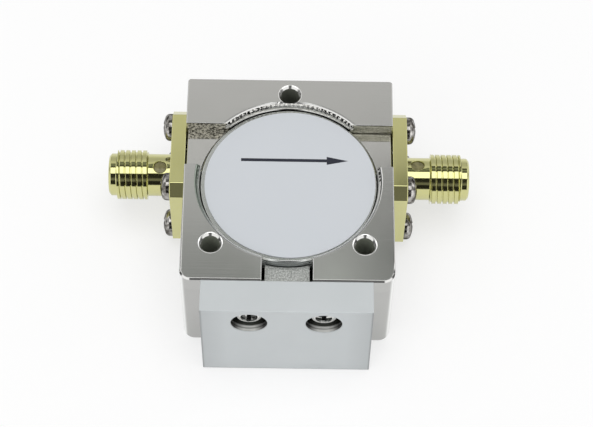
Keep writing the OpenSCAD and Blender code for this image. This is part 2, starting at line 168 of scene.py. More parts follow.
def mix_tone(tree, factor, first, second):
    """Blends two colours by a factor that changes over the surface."""
    node = add_node(tree, "ShaderNodeMix", data_type="RGBA")
    for socket, value in ((0, factor), (6, first), (7, second)):
        if isinstance(value, bpy.types.NodeSocket):
            tree.links.new(value, node.inputs[socket])
        elif socket:
            node.inputs[socket].default_value = (*value, 1)
        else:
            node.inputs[socket].default_value = value
    return node.outputs[2]


def overlap(tree, *masks):
    """Where all the masks hold at once."""
    joined = masks[0]
    for mask in masks[1:]:
        joined = math_node(tree, "MULTIPLY", joined, mask)
    return joined


def brighter(tree, tone, times):
    """The colour multiplied by a value."""
    return add_node(tree, "ShaderNodeVectorMath", {0: tone, 3: times}, operation="SCALE").outputs[0]


def new_group(name, inputs, outputs):
    """Empty node group; inputs maps names to (kind, value) and outputs maps names to kinds."""
    group = bpy.data.node_groups.new(name, "ShaderNodeTree")
    for label, (kind, value) in inputs.items():
        socket = group.interface.new_socket(label, in_out="INPUT", socket_type=kind)
        if value is not None:
            socket.default_value = value
    for label, kind in outputs.items():
        group.interface.new_socket(label, in_out="OUTPUT", socket_type=kind)
    return group, group.nodes.new("NodeGroupInput"), group.nodes.new("NodeGroupOutput")


def use_group(tree, group, inputs):
    """Outputs of a group placed in a material with its own values."""
    node = tree.nodes.new("ShaderNodeGroup")
    node.node_tree = group
    for label, value in inputs.items():
        if isinstance(value, bpy.types.NodeSocket):
            tree.links.new(value, node.inputs[label])
        else:
            node.inputs[label].default_value = value
    return node.outputs


def object_place(tree):
    """Place on the object in metres."""
    return tree.nodes.new("ShaderNodeTexCoord").outputs["Object"]


# Shared surface effects

FLOAT = "NodeSocketFloat"
VECTOR = "NodeSocketVector"


def milled_grain():
    """Fine lines left by a cutter, drawn out along one axis, with soft patches between them."""
    group, given, out = new_group(
        "milled_grain",
        {
            "Place": (VECTOR, None),
            "Stretch": (VECTOR, (300, 4000, 4000)),
            "Patch Scale": (FLOAT, 260),
        },
        {"Height": FLOAT, "Patches": FLOAT},
    )
    place = given.outputs["Place"]
    stretched = add_node(group, "ShaderNodeMapping", {"Vector": place, "Scale": given.outputs["Stretch"]})
    lines = add_node(
        group,
        "ShaderNodeTexNoise",
        {"Vector": stretched.outputs[0], "Scale": 1, "Detail": 3, "Roughness": 0.6},
    )
    patches = add_node(
        group,
        "ShaderNodeTexNoise",
        {"Vector": place, "Scale": given.outputs["Patch Scale"], "Detail": 4, "Roughness": 0.55},
    )
    group.links.new(lines.outputs["Fac"], out.inputs["Height"])
    group.links.new(patches.outputs["Fac"], out.inputs["Patches"])
    return group


def hairline_marks():
    """Sparse handling scratches in two directions."""
    group, given, out = new_group(
        "hairline_marks", {"Place": (VECTOR, None), "Scale": (FLOAT, 1000)}, {"Marks": FLOAT}
    )
    found = []
    for turn, thin in ((0.5, 18), (-0.9, 24)):
        turned = add_node(
            group,
            "ShaderNodeMapping",
            {
                "Vector": given.outputs["Place"],
                "Rotation": (0.3 * turn, 0.2, turn),
                "Scale": (0.5, thin, 6),
            },
        )
        noise = add_node(
            group,
            "ShaderNodeTexNoise",
            {"Vector": turned.outputs[0], "Scale": given.outputs["Scale"], "Detail": 1},
        )
        found.append(ramp(group, noise.outputs["Fac"], [(0.70, 0.0), (0.76, 1.0)]))
    both = math_node(group, "MAXIMUM", found[0], found[1])
    group.links.new(both, out.inputs["Marks"])
    return group


def coarse_pits():
    """Crumbly surface of a rough cut or a casting."""
    group, given, out = new_group(
        "coarse_pits", {"Place": (VECTOR, None), "Scale": (FLOAT, 5000)}, {"Height": FLOAT, "Pits": FLOAT}
    )
    noise = add_node(
        group,
        "ShaderNodeTexNoise",
        {"Vector": given.outputs["Place"], "Scale": given.outputs["Scale"], "Detail": 5, "Roughness": 0.7},
    )
    cells = add_node(
        group,
        "ShaderNodeTexVoronoi",
        {"Vector": given.outputs["Place"], "Scale": given.outputs["Scale"]},
        feature="F1",
    )
    height = math_node(group, "MULTIPLY_ADD", cells.outputs["Distance"], 0.6, noise.outputs["Fac"])
    pits = ramp(group, noise.outputs["Fac"], [(0.45, 1.0), (0.55, 0.0)])
    group.links.new(height, out.inputs["Height"])
    group.links.new(pits, out.inputs["Pits"])
    return group


def turned_rings():
    """Rings of a lathe tool round an axis; Across is the place with the axis component taken out."""
    group, given, out = new_group(
        "turned_rings", {"Across": (VECTOR, None), "Spacing": (FLOAT, 0.00012)}, {"Height": FLOAT}
    )
    radius = add_node(group, "ShaderNodeVectorMath", {0: given.outputs["Across"]}, operation="LENGTH")
    turns = math_node(group, "DIVIDE", radius.outputs["Value"], given.outputs["Spacing"])
    wobble = add_node(
        group, "ShaderNodeTexNoise", {"Vector": given.outputs["Across"], "Scale": 900, "Detail": 2}
    )
    shifted = math_node(group, "MULTIPLY_ADD", wobble.outputs["Fac"], 1.5, turns)
    wave = math_node(group, "SINE", math_node(group, "MULTIPLY", shifted, 2 * math.pi))
    group.links.new(math_node(group, "MULTIPLY_ADD", wave, 0.5, 0.5), out.inputs["Height"])
    return group


GRAIN = milled_grain()
MARKS = hairline_marks()
PITS = coarse_pits()
RINGS = turned_rings()


def start_material(name, **plain):
    """Material with a Principled shader; plain holds the values that are the same all over."""
    material = bpy.data.materials.new(name)
    material.use_nodes = True
    tree = material.node_tree
    shader = tree.nodes["Principled BSDF"]
    for socket, value in plain.items():
        shader.inputs[socket.replace("_", " ")].default_value = value
    return material, tree, shader


def feed_bump(tree, shader, height, strength, distance, before=None):
    """Lays a height on the shader's normal, over an earlier bump if there is one."""
    bump = add_node(tree, "ShaderNodeBump", {"Height": height, "Strength": strength, "Distance": distance})
    if before is not None:
        tree.links.new(before, bump.inputs["Normal"])
    tree.links.new(bump.outputs["Normal"], shader.inputs["Normal"])
    return bump.outputs["Normal"]


def split_place(tree):
    """The three components of the place on the object."""
    return add_node(tree, "ShaderNodeSeparateXYZ", {"Vector": object_place(tree)}).outputs


def radius_from(tree, first, second, at_first=0.0, at_second=0.0):
    """Distance from an axis, from two components of the place; the axis is given in millimetres."""
    a = math_node(tree, "SUBTRACT", first, at_first * MM)
    b = math_node(tree, "SUBTRACT", second, at_second * MM)
    return math_node(tree, "SQRT", math_node(tree, "MULTIPLY_ADD", a, a, math_node(tree, "MULTIPLY", b, b)))


def beyond(tree, value, mark):
    """1 where the value is over a millimetre mark, else 0."""
    return math_node(tree, "GREATER_THAN", value, mark * MM)


def short_of(tree, value, mark):
    """1 where the value is under a millimetre mark, else 0."""
    return math_node(tree, "LESS_THAN", value, mark * MM)


def between(tree, value, low, high):
    """1 where the value lies between two millimetre marks, else 0."""
    return overlap(tree, beyond(tree, value, low), short_of(tree, value, high))


def share_of(tree, value, length):
    """The value as a share of a length in millimetres."""
    return math_node(tree, "DIVIDE", value, length * MM)


def tint(tree, tone, layers):
    """Lays colours over a tone, each where its mask holds."""
    for mask, layer in layers:
        tone = mix_tone(tree, mask, tone, layer)
    return tone


# Materials


def slot_wall_mask(tree, out_x, y, z):
    """The back walls of the two slots, from the mouth outwards."""
    inner_x, foot_z = 7.2, 10.0
    wall = between(tree, y, SLOT_BACK_Y - 0.1, SLOT_BACK_Y + 0.1)
    across = between(tree, out_x, inner_x, SIDE_X - 0.01)
    upright = between(tree, z, foot_z, HOUSING_TOP - 0.1)
    return overlap(tree, wall, upright, across)


def mouth_thread_mask(tree, x, y, z):
    """The threaded wall of the mouth, from the lid up to the foot of the chamfer."""
    wall = between(tree, radius_from(tree, x, y), MOUTH_R - 0.05, MOUTH_R + 0.20)
    return overlap(tree, wall, between(tree, z, LID_TOP + 0.05, MOUTH_CHAMFER_FOOT + 0.17))


def thread_gap_painted_shade(tree, x, y, z, crumbs):
    """Painted shade: uneven dark gaps in the upper thread at the back of the mouth, fainter next to the back
    hole.
    """
    waves_round, raggedness = 120.0, 9.0
    upper_z = HOUSING_TOP - 0.7
    turn = math_node(tree, "ARCTAN2", y, x)
    ragged = math_node(tree, "MULTIPLY", crumbs, raggedness)
    wave = math_node(tree, "MULTIPLY_ADD", turn, waves_round, ragged)
    wave = math_node(tree, "MULTIPLY_ADD", math_node(tree, "SINE", wave), 0.5, 0.5)
    gaps = ramp(tree, wave, [(0.24, 0.0), (0.42, 1.0)])
    out_x = math_node(tree, "ABSOLUTE", x)
    aside = ramp(tree, share_of(tree, out_x, SIDE_X), [(0.08, 0.4), (0.28, 1.0)])
    return overlap(tree, gaps, beyond(tree, y, 0.0), beyond(tree, z, upper_z), aside)


def mount_hole_masks(tree, x, y, z):
    """The walls of the mounting holes, which get painted shade, and the lips round their chamfers, which get
    a painted highlight.
    """
    wall = lip_painted_highlight = 0.0
    for hole_x, hole_y in MOUNT_HOLES:
        off_axis = radius_from(tree, x, y, hole_x, hole_y)
        wall = math_node(tree, "MAXIMUM", short_of(tree, off_axis, MOUNT_HOLE_R + 0.03), wall)
        ring = between(tree, off_axis, MOUNT_RIM_R - 0.07, MOUNT_RIM_R + 0.07)
        lip_painted_highlight = math_node(tree, "MAXIMUM", ring, lip_painted_highlight)
    wall = overlap(tree, wall, between(tree, z, 0.05, MOUNT_CHAMFER_FOOT - 0.04))
    return wall, overlap(tree, lip_painted_highlight, beyond(tree, z, MOUNT_CHAMFER_FOOT + 0.1))


def load_face_masks(tree, out_x, y, z):
    """The plate beside the load block, where shade is painted, and the two upright rounds at its ends, where
    a highlight is painted.
    """
    upper_z = HOUSING_TOP - 0.3
    behind_block = BLOCK_HALF_W - 0.65
    front = ramp(tree, share_of(tree, y, LOAD_FACE_Y), [(0.905, 0.0), (0.945, 1.0)])
    rounds = ramp(tree, share_of(tree, out_x, SIDE_X), [(0.957, 0.0), (0.978, 1.0)])
    rounds = overlap(tree, rounds, front, short_of(tree, z, upper_z))
    flat = overlap(tree, front, between(tree, z, 0.2, upper_z), beyond(tree, out_x, behind_block))
    return overlap(tree, flat, math_node(tree, "SUBTRACT", 1.0, rounds)), rounds


def load_face_painted_shade(tree, load_face, x, z):
    """Painted shade: darkens the plate beside the load block, most at its outer edges and a little lower
    down.
    """
    lower_z = 12.5
    out_x = math_node(tree, "ABSOLUTE", x)
    outer = ramp(tree, share_of(tree, out_x, SIDE_X), [(0.90, 0.15), (0.96, 0.20)])
    to_right = math_node(tree, "MULTIPLY", x, 1.5)
    change = math_node(tree, "MULTIPLY_ADD", short_of(tree, z, lower_z), -0.03, to_right)
    return math_node(tree, "MULTIPLY_ADD", load_face, math_node(tree, "SUBTRACT", change, outer), 1.0)


def chamfer_painted_shade_mask(tree, x, y, z):
    """Painted shade on a stretch of the mouth's chamfer at the left, fading towards the front."""
    chamfer = between(tree, radius_from(tree, x, y), MOUTH_R - 0.05, MOUTH_R + 0.45)
    # Full behind y = -3.5 mm, gone in front of y = -8 mm
    fade = math_node(tree, "MULTIPLY_ADD", y, 222.0, 1.78, clamp=True)
    on_left = short_of(tree, x, -8.5)
    above = beyond(tree, z, MOUTH_CHAMFER_FOOT - 0.04)
    return math_node(tree, "MULTIPLY", overlap(tree, fade, on_left, above, chamfer), 0.75)


def make_bright_nickel():
    """Housing plate with soft milling lines, rough slot walls and rougher thread and holes; painted shade in
    thread, holes, left chamfer and beside the block, painted highlights on hole lips and front rounds.
    """
    material, tree, shader = start_material("bright_nickel_plate")
    place = object_place(tree)
    grain = use_group(tree, GRAIN, {"Place": place, "Stretch": (150, 5200, 5200), "Patch Scale": 130})
    lines = use_group(tree, GRAIN, {"Place": place, "Stretch": (200, 5200, 3400), "Patch Scale": 500})
    marks = use_group(tree, MARKS, {"Place": place, "Scale": 120})["Marks"]
    pits = use_group(tree, PITS, {"Place": place, "Scale": 3600})
    x, y, z = split_place(tree)
    out_x = math_node(tree, "ABSOLUTE", x)
    slot_wall = slot_wall_mask(tree, out_x, y, z)
    on_left = math_node(tree, "LESS_THAN", x, 0.0)
    crumbly = overlap(tree, slot_wall, math_node(tree, "MULTIPLY_ADD", on_left, 0.85, 0.15))
    thread = mouth_thread_mask(tree, x, y, z)
    hole, lip_painted_highlight = mount_hole_masks(tree, x, y, z)
    load_face, rounds = load_face_masks(tree, out_x, y, z)
    streaks = ramp(tree, lines["Height"], [(0.40, 0.0), (0.60, 1.0)])
    drawn = mix_tone(tree, streaks, (0.345, 0.34, 0.265), (0.64, 0.63, 0.52))
    rough_cut = mix_tone(tree, pits["Pits"], (0.74, 0.71, 0.60), (0.08, 0.075, 0.055))
    gaps = thread_gap_painted_shade(tree, x, y, z, pits["Height"])
    # Painted shade: near black where shade falls in the gaps of the thread
    thread_with_painted_shade = mix_tone(tree, gaps, (0.88, 0.87, 0.83), (0.006, 0.006, 0.005))
    # Painted shade on the walls of the mounting holes, darker still in the back hole
    hole_painted_shade = mix_tone(tree, grain["Height"], (0.19, 0.205, 0.165), (0.25, 0.265, 0.22))
    hole_painted_shade = brighter(tree, hole_painted_shade, math_node(tree, "MULTIPLY_ADD", beyond(tree, y, 10.0), -0.45, 1.08))
    clean = mix_tone(tree, grain["Patches"], (0.51, 0.515, 0.495), (0.60, 0.595, 0.585))
    tone = tint(tree, clean, (
        (slot_wall, drawn),
        (crumbly, rough_cut),
        (thread, thread_with_painted_shade),
        # Painted highlight on the lips of the hole chamfers
        (lip_painted_highlight, (0.97, 0.97, 0.95)),
        # Painted shade in the mounting holes
        (hole, hole_painted_shade),
        # Painted highlight on the upright rounds at the ends of the load face
        (rounds, (0.90, 0.91, 0.90)),
        # Painted shade on the left stretch of the mouth's chamfer
        (chamfer_painted_shade_mask(tree, x, y, z), (0.17, 0.22, 0.17)),
    ))
    # Painted shade on the plate beside the load block
    tone = brighter(tree, tone, load_face_painted_shade(tree, load_face, x, z))
    tree.links.new(tone, shader.inputs["Base Color"])
    tree.links.new(math_node(tree, "SUBTRACT", 1.0, hole), shader.inputs["Metallic"])
    roughness = math_node(tree, "MULTIPLY_ADD", grain["Patches"], 0.08, 0.10)
    for mask, rougher in ((marks, 0.05), (slot_wall, 0.30), (thread, 0.25)):
        roughness = math_node(tree, "MULTIPLY_ADD", mask, rougher, roughness)
    tree.links.new(math_node(tree, "MAXIMUM", roughness, hole), shader.inputs["Roughness"])
    first = feed_bump(tree, shader, grain["Height"], 0.05, 0.00003)
    crumbs = overlap(tree, pits["Height"], math_node(tree, "MAXIMUM", slot_wall, thread))
    feed_bump(tree, shader, crumbs, 0.9, 0.00012, first)
    return material


def make_lid_nickel():
    """Lid: turned face with fine rings."""
    material, tree, shader = start_material("lid_nickel_plate", Metallic=1.0)
    place = object_place(tree)
    across = add_node(tree, "ShaderNodeVectorMath", {0: place, 1: (1, 1, 0)}, operation="MULTIPLY")
    rings = use_group(tree, RINGS, {"Across": across.outputs[0], "Spacing": 0.00016})["Height"]
    grain = use_group(tree, GRAIN, {"Place": place, "Stretch": (2600, 2600, 2600), "Patch Scale": 400})
    tone = mix_tone(tree, grain["Patches"], (0.54, 0.56, 0.54), (0.62, 0.635, 0.62))
    tree.links.new(tone, shader.inputs["Base Color"])
    tree.links.new(math_node(tree, "MULTIPLY_ADD", rings, 0.08, 0.16), shader.inputs["Roughness"])
    feed_bump(tree, shader, rings, 0.25, 0.00001)
    return material


def make_cover_nickel():
    """Smooth slot covers."""
    material, tree, shader = start_material("cover_nickel_plate", Metallic=1.0)
    place = object_place(tree)
    grain = use_group(tree, GRAIN, {"Place": place, "Stretch": (4200, 600, 4200), "Patch Scale": 500})
    marks = use_group(tree, MARKS, {"Place": place, "Scale": 200})["Marks"]
    tone = mix_tone(tree, grain["Patches"], (0.55, 0.55, 0.53), (0.64, 0.635, 0.62))
    tree.links.new(tone, shader.inputs["Base Color"])
    smooth = math_node(tree, "MULTIPLY_ADD", marks, 0.12, 0.09)
    tree.links.new(smooth, shader.inputs["Roughness"])
    feed_bump(tree, shader, grain["Height"], 0.06, 0.00003)
    return material


def make_notch_cast():
    """Crumbly cast face of the notch cover."""
    material, tree, shader = start_material("cast_nickel_plate", Metallic=1.0)
    place = object_place(tree)
    pits = use_group(tree, PITS, {"Place": place, "Scale": 5200})
    tone = mix_tone(tree, pits["Pits"], (0.61, 0.625, 0.605), (0.40, 0.415, 0.395))
    tree.links.new(tone, shader.inputs["Base Color"])
    tree.links.new(math_node(tree, "MULTIPLY_ADD", pits["Pits"], 0.25, 0.30), shader.inputs["Roughness"])
    feed_bump(tree, shader, pits["Height"], 0.55, 0.00008)
    return material


def make_gold_plate():
    """Pale gold plate with turning lines round the X axis."""
    material, tree, shader = start_material(
        "pale_gold_plate", Metallic=1.0, Coat_Weight=1.0, Coat_Roughness=0.06, Coat_IOR=2.0,
        Specular_Tint=(0.75, 0.75, 0.6, 1),
    )
    place = object_place(tree)
    grain = use_group(tree, GRAIN, {"Place": place, "Stretch": (9000, 500, 500), "Patch Scale": 380})
    tone = mix_tone(tree, grain["Patches"], (0.53, 0.515, 0.165), (0.61, 0.595, 0.225))
    tree.links.new(tone, shader.inputs["Base Color"])
    tree.links.new(
        math_node(tree, "MULTIPLY_ADD", grain["Height"], 0.08, 0.05), shader.inputs["Roughness"]
    )
    feed_bump(tree, shader, grain["Height"], 0.06, 0.00002)
    return material


def make_screw_steel():
    """Stainless screws; those in the load block get painted shade with painted glints on the heads, a
    painted highlight on the rim and painted shade in the drive recesses.
    """
    material, tree, shader = start_material("screw_steel", Specular_Tint=(0.4, 0.4, 0.4, 1))
    place = object_place(tree)
    grain = use_group(tree, GRAIN, {"Place": place, "Stretch": (5000, 5000, 5000), "Patch Scale": 1500})
    specks = use_group(tree, PITS, {"Place": place, "Scale": 900})["Height"]
    x, y, z = split_place(tree)
    radius = radius_from(tree, math_node(tree, "ABSOLUTE", x), z, BLOCK_SCREW_X, BLOCK_SCREW_Z)
    in_block = short_of(tree, y, LOAD_FACE_Y - 0.5)
    rim = overlap(tree, in_block, beyond(tree, radius, 1.02))
    painted_recess_shade = overlap(tree, in_block, beyond(tree, y, BLOCK_FACE_Y + 1.05), short_of(tree, radius, 1.0))
    patches = ramp(tree, grain["Patches"], [(0.38, 0.0), (0.62, 1.0)])
    painted_glints = ramp(tree, specks, [(0.78, 0.0), (0.86, 1.0)])
    # Block screws: painted shade with painted glints on the heads, painted highlight on the rim, painted
    # shade in the drive recesses
    tone = tint(tree, mix_tone(tree, patches, (0.12, 0.112, 0.10), (0.52, 0.505, 0.48)), (
        (in_block, mix_tone(tree, painted_glints, (0.06, 0.065, 0.06), (0.80, 0.81, 0.78))),
        (rim, (0.95, 0.96, 0.93)),
        (painted_recess_shade, (0.02, 0.022, 0.02)),
    ))
    tree.links.new(tone, shader.inputs["Base Color"])
    tree.links.new(math_node(tree, "MULTIPLY_ADD", in_block, -0.8, 1.0), shader.inputs["Metallic"])
    roughness = math_node(tree, "MULTIPLY_ADD", grain["Patches"], 0.12, 0.07)
    tree.links.new(roughness, shader.inputs["Roughness"])
    feed_bump(tree, shader, grain["Height"], 0.08, 0.00003)
    return material


def block_front_painted_shade(tree, out_x, y, z):
    """Painted shade on the load block's front, darker at its sides and its foot."""
    on_face = short_of(tree, y, BLOCK_FACE_Y + 0.06)
    sides = ramp(tree, share_of(tree, out_x, BLOCK_HALF_W), [(0.7034, 0.0), (0.9748, 0.13), (0.9899, 0.45)])
    foot = ramp(tree, share_of(tree, z, 10.0), [(0.018, 0.45), (0.03, 0.0), (0.5, 0.0)])
    return overlap(tree, on_face, math_node(tree, "MAXIMUM", sides, foot))


def make_blasted_aluminium():
    """Bead blasted block, with cutter rings inside the two counterbores, whose tones are painted highlight
    bands and painted shade.
    """
    material, tree, shader = start_material("blasted_aluminium", Metallic=0.3)
    place = object_place(tree)
    grain = use_group(tree, GRAIN, {"Place": place, "Stretch": (9000, 9000, 9000), "Patch Scale": 180})
    x, y, z = split_place(tree)
    out_x = math_node(tree, "ABSOLUTE", x)
    radius = radius_from(tree, out_x, z, BLOCK_SCREW_X, BLOCK_SCREW_Z)
    in_bore = short_of(tree, radius, COUNTERBORE_R + 0.03)
    in_bore = overlap(tree, in_bore, beyond(tree, y, BLOCK_FACE_Y + 0.12))
    into_bore = math_node(tree, "SUBTRACT", y, BLOCK_FACE_Y * MM)
    depth = share_of(tree, into_bore, COUNTERBORE_DEPTH)
    rings = ramp(tree, depth, [
        (0.0, 0.45), (0.05, 0.75), (0.20, 0.80), (0.26, 0.32), (0.30, 0.34), (0.36, 0.85), (0.43, 0.85),
        (0.49, 0.03), (0.95, 0.02),
    ])
    off_screw = math_node(tree, "SUBTRACT", out_x, BLOCK_SCREW_X * MM)
    aside = share_of(tree, math_node(tree, "ABSOLUTE", off_screw), COUNTERBORE_R)
    # Painted highlight bands and painted shade in the counterbores, black deeper in and darker towards each
    # bore's sides
    cut = mix_tone(tree, rings, (0.06, 0.065, 0.055), (1.0, 1.0, 0.98))
    cut = brighter(tree, cut, ramp(tree, aside, [(0.30, 1.0), (0.80, 0.14)]))
    blasted = mix_tone(tree, grain["Patches"], (0.56, 0.59, 0.60), (0.61, 0.64, 0.65))
    # Painted shade at the sides and the foot of the block's front
    blasted = brighter(tree, blasted, math_node(tree, "SUBTRACT", 1.0, block_front_painted_shade(tree, out_x, y, z)))
    tree.links.new(mix_tone(tree, in_bore, blasted, cut), shader.inputs["Base Color"])
    matt = math_node(tree, "MULTIPLY_ADD", grain["Height"], 0.10, 0.46)
    tree.links.new(math_node(tree, "MULTIPLY_ADD", in_bore, -0.28, matt), shader.inputs["Roughness"])
    first = feed_bump(tree, shader, grain["Height"], 0.16, 0.00004)
    feed_bump(tree, shader, overlap(tree, rings, in_bore), 0.5, 0.00005, first)
    return material


def make_label_film():
    """Matt printed film, faintly bluish, with a soft orange peel."""
    material, tree, shader = start_material("label_film", Roughness=0.42)
    place = object_place(tree)
    grain = use_group(tree, GRAIN, {"Place": place, "Stretch": (900, 900, 900), "Patch Scale": 60})
    tone = mix_tone(tree, grain["Patches"], (0.575, 0.61, 0.645), (0.625, 0.645, 0.675))
    tree.links.new(tone, shader.inputs["Base Color"])
    feed_bump(tree, shader, grain["Height"], 0.06, 0.00004)
    return material


def make_label_print():
    """Dark ink of the arrow."""
    material, tree, shader = start_material("label_print", Roughness=0.5, Specular_IOR_Level=0.15)
    speck = add_node(tree, "ShaderNodeTexNoise", {"Vector": object_place(tree), "Scale": 9000, "Detail": 2})
    tone = mix_tone(tree, speck.outputs["Fac"], (0.018, 0.020, 0.030), (0.045, 0.047, 0.060))
    tree.links.new(tone, shader.inputs["Base Color"])
    return material


def make_speckled(name, first, second, scale, roughness, metallic=0.0, depth=0.00002, **plain):
    """Plain finish with a fine two-tone grain, for the small and the enclosed pieces."""
    material, tree, shader = start_material(name, Metallic=metallic, **plain)
    place = object_place(tree)
    noise = add_node(
        tree, "ShaderNodeTexNoise", {"Vector": place, "Scale": scale, "Detail": 4, "Roughness": 0.6}
    )
    tree.links.new(mix_tone(tree, noise.outputs["Fac"], first, second), shader.inputs["Base Color"])
    uneven = math_node(tree, "MULTIPLY_ADD", noise.outputs["Fac"], 0.2, roughness - 0.1)
    tree.links.new(uneven, shader.inputs["Roughness"])
    feed_bump(tree, shader, noise.outputs["Fac"], 0.2, depth)
    return material


FINISH = {
    "bright_nickel": make_bright_nickel(),
    "lid_nickel": make_lid_nickel(),
    "label_film": make_label_film(),
    "label_print": make_label_print(),
    "cast_cover": make_cover_nickel(),
    "notch_cast": make_notch_cast(),
    "gold_plate": make_gold_plate(),
    "screw_steel": make_screw_steel(),
    "blasted_aluminium": make_blasted_aluminium(),
    "white_insulator": make_speckled(
        "white_insulator", (0.80, 0.80, 0.78), (0.88, 0.88, 0.86), 1500, 0.4, Subsurface_Weight=0.15,
        Subsurface_Scale=0.0005,
    ),
    "epoxy": make_speckled(
        "amber_epoxy", (0.03, 0.027, 0.006), (0.36, 0.33, 0.15), 1700, 0.2, depth=0.0001
    ),
    "load_metal": make_speckled("load_metal", (0.62, 0.48, 0.34), (0.74, 0.60, 0.44), 2500, 0.32, 1.0),
    "load_ceramic": make_speckled("load_ceramic", (0.78, 0.78, 0.76), (0.88, 0.88, 0.86), 3000, 0.5),
    "silver_sheet": make_speckled("silver_sheet", (0.80, 0.79, 0.76), (0.90, 0.89, 0.87), 1600, 0.22, 1.0),
    "ferrite": make_speckled("dark_ferrite", (0.030, 0.028, 0.027), (0.075, 0.070, 0.066), 3500, 0.45),
    "ring_ceramic": make_speckled("ring_ceramic", (0.72, 0.69, 0.62), (0.82, 0.79, 0.73), 2600, 0.5),
    "pole_steel": make_speckled("pole_steel", (0.52, 0.52, 0.52), (0.64, 0.64, 0.64), 1800, 0.3, 1.0),
    "magnet": make_speckled("magnet_plate", (0.30, 0.30, 0.31), (0.42, 0.42, 0.43), 2200, 0.3, 1.0),
    "compensation_alloy": make_speckled(
        "compensation_alloy", (0.48, 0.46, 0.43), (0.58, 0.56, 0.53), 1800, 0.38, 1.0
    ),
}


# Mesh helpers


def merged_copy(node):
    """The node's own mesh, merged and with its flat faces joined up."""
    bm = bmesh.new()
    bm.from_mesh(frame["nodes"][node].data)
    bmesh.ops.remove_doubles(bm, verts=bm.verts, dist=1e-6)
    bmesh.ops.dissolve_limit(bm, angle_limit=math.radians(0.6), verts=bm.verts, edges=bm.edges)
    return bm


def round_edges(bm, width, above=50, pick=lambda edge: True, segments=3):
    """Rounds the edges that turn by more than an angle."""
    sharp = [
        e
        for e in bm.edges
        if len(e.link_faces) == 2 and e.calc_face_angle() > math.radians(above) and pick(e)
    ]
    bmesh.ops.bevel(
        bm,
        geom=sharp,
        offset=width * MM,
        offset_type="OFFSET",
        segments=segments,
        profile=0.5,
        affect="EDGES",
        clamp_overlap=False,
        material=-1,
    )


def faces_met_smoothly(vert, limit):
    """Sets of the faces round a vertex that meet at less than an angle."""
    waiting = set(vert.link_faces)
    while waiting:
        met, reached = [], [waiting.pop()]
        while reached:
            face = reached.pop()
            met.append(face)
            for edge in vert.link_edges:
                if face in edge.link_faces and len(edge.link_faces) == 2 and edge.calc_face_angle() < limit:
                    found = waiting.intersection(edge.link_faces)
                    waiting -= found
                    reached.extend(found)
        yield met


def weighted_normals(bm, limit):
    """A normal for each corner, in which larger faces count for more, so that flat faces stay flat."""
    bm.normal_update()
    heft = {face: face.normal * face.calc_area() * 1e6 for face in bm.faces}
    at_corner = {}
    for vert in bm.verts:
        for met in faces_met_smoothly(vert, limit):
            normal = sum((heft[face] for face in met), Vector()).normalized()
            at_corner.update({(face, vert): normal for face in met})
    return [at_corner[face, vert] for face in bm.faces for vert in face.verts]


def put_piece(name, bm, finish, record_slot, stands_for=(), smooth=40):
    """Makes the mesh a piece of the scene that rides on the one body."""
    mesh = bpy.data.meshes.new(name)
    normals = weighted_normals(bm, math.radians(smooth))
    bm.to_mesh(mesh)
    bm.free()
    mesh.shade_smooth()
    mesh.set_sharp_from_angle(angle=math.radians(smooth))
    mesh.normals_split_custom_set(normals)
    mesh.materials.append(FINISH[finish])
    piece = bpy.data.objects.new(name, mesh)
    bpy.context.scene.collection.objects.link(piece)
    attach(piece, "root")
    if stands_for:
        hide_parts(*stands_for)


def helix_ridge(bm, centre, axis, out, root_r, crest_r, foot, crest, pitch, start, turns, steps):
    """A thread turn with a sloped profile, spun along an axis. All lengths are in millimetres."""
    corners = [
        (root_r, -foot / 2),
        (crest_r, -crest / 2),
        (crest_r, crest / 2),
        (root_r, foot / 2),
    ]
    verts = [bm.verts.new((centre + out * r + axis * (start + a)) * MM) for r, a in corners]
    face = bm.faces.new(verts)
    bmesh.ops.spin(
        bm,
        geom=[*verts, *face.edges, face],
        cent=centre * MM,
        axis=axis,
        dvec=axis * (pitch * turns / steps * MM),
        angle=2 * math.pi * turns,
        steps=steps,
        use_merge=False,
        use_duplicate=False,
    )
    bmesh.ops.recalc_face_normals(bm, faces=bm.faces)


def cut_off(bm, point, normal):
    """Cuts away what lies beyond a plane and closes the cut."""
    found = bmesh.ops.bisect_plane(
        bm,
        geom=[*bm.verts, *bm.edges, *bm.faces],
        plane_co=point * MM,
        plane_no=normal,
        clear_outer=True,
        clear_inner=False,
    )
    rim = [e for e in found["geom_cut"] if isinstance(e, bmesh.types.BMEdge)]
    bmesh.ops.holes_fill(bm, edges=rim, sides=0)


# Housing, lid and label


def on_top(edge):
    """An edge of the housing's top face."""
    return all(v.co.z > (HOUSING_TOP - 0.01) * MM for v in edge.verts)


def at_front_edge(edge):
    """The edge between the top and the load face, with the rounds at its ends."""
    return on_top(edge) and all(v.co.y < (FRONT_ROUND_Y + 0.05) * MM for v in edge.verts)


def behind_front_face(edge):
    """The upper line of the cut made at that edge."""
    return at_front_edge(edge) and any(v.co.y > (LOAD_FACE_Y + 0.1) * MM for v in edge.verts)


def off_back_hole(edge):
    """Leaves out the thin land between the back hole and the mouth."""
    hole_x, hole_y = MOUNT_HOLES[-1]
    return not all(abs(v.co.x / MM - hole_x) < 1.7 and v.co.y / MM > hole_y - 2.0 for v in edge.verts)


def at_chamfer_rim(edge):
    """Outer rims of the chamfers at the mouth and the mounting holes."""
    if not (on_top(edge) and off_back_hole(edge)):
        return False
    rims = [(0, 0, MOUTH_R + MOUTH_CHAMFER)]
    rims += [(x, y, MOUNT_RIM_R) for x, y in MOUNT_HOLES]
    ends = [v.co.to_2d() / MM for v in edge.verts]
    return any(all(abs((end - Vector((x, y))).length - r) < 0.02 for end in ends) for x, y, r in rims)


def at_round_end(vert, side):
    """Where the cut at the front edge runs out into the round of a side."""
    outside = side * vert.co.x / MM > SIDE_X - 0.4
    near_round = -0.05 < vert.co.y / MM - FRONT_ROUND_Y < 0.4
    return outside and near_round and vert.co.z > (HOUSING_TOP - 0.3) * MM


